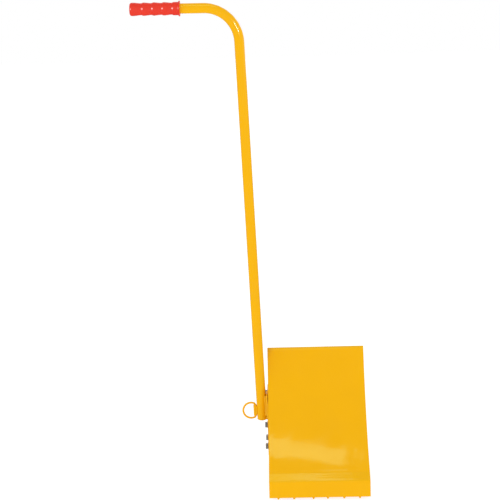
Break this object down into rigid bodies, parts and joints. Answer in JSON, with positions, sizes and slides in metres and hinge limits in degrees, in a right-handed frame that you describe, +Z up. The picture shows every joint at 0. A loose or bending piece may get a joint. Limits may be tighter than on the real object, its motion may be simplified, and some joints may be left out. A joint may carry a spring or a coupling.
{
  "type": "wheel chock",
  "caption": "Bent steel wheel chock with a curved tyre face, blunt-pointed toe pins, an upright tube handle with a moulded grip, and a swinging D-ring for a keeper chain.",
  "frame": {"origin": "middle of the heel plate's ground edge, on the ground, at half the chock's width", "axes": "+X to the right as seen from the tyre, +Y from toe to heel, +Z up; the handle stands on the -X side"},
  "size_m": [0.5758, 0.305, 1.2445],
  "materials": {
    "yellow_paint": "gloss golden-yellow powder coat",
    "zinc": "bright zinc-plated fasteners",
    "red_vinyl": "semi-gloss moulded vinyl"
  },
  "bodies": {
    "chock": {"face_plate": "yellow_paint", "side_plate_left": "yellow_paint", "side_plate_right": "yellow_paint", "centre_rib": "yellow_paint", "heel_plate": "yellow_paint", "toe_pin_1": "yellow_paint", "toe_pin_2": "yellow_paint", "toe_pin_3": "yellow_paint", "toe_pin_4": "yellow_paint", "toe_pin_5": "yellow_paint", "toe_pin_6": "yellow_paint", "handle_tube": "yellow_paint", "tube_foot_plug": "yellow_paint", "bracket_plate": "yellow_paint", "standoff_block": "yellow_paint", "ring_sleeve": "yellow_paint", "hand_grip": "red_vinyl", "bracket_bolt_1": "zinc", "bracket_bolt_2": "zinc", "bracket_bolt_3": "zinc", "bracket_bolt_4": "zinc", "bracket_bolt_5": "zinc", "washer_outer_1": "zinc", "washer_outer_2": "zinc", "washer_outer_3": "zinc", "washer_outer_4": "zinc", "washer_outer_5": "zinc", "washer_inner_1": "zinc", "washer_inner_2": "zinc", "washer_inner_3": "zinc", "washer_inner_4": "zinc", "washer_inner_5": "zinc", "bracket_nut_1": "zinc", "bracket_nut_2": "zinc", "bracket_nut_3": "zinc", "bracket_nut_4": "zinc", "bracket_nut_5": "zinc"},
    "chain_ring_body": {"chain_ring": "yellow_paint"}
  },
  "joints": [
    {"name": "chain_ring_swing", "type": "hinge", "parent": "chock", "child": "chain_ring_body", "pos_m": [-0.16263, -0.092, 0.1741], "axis": [-0.031, 0, 0.9995], "range_deg": [-105, 105]}
  ]
}
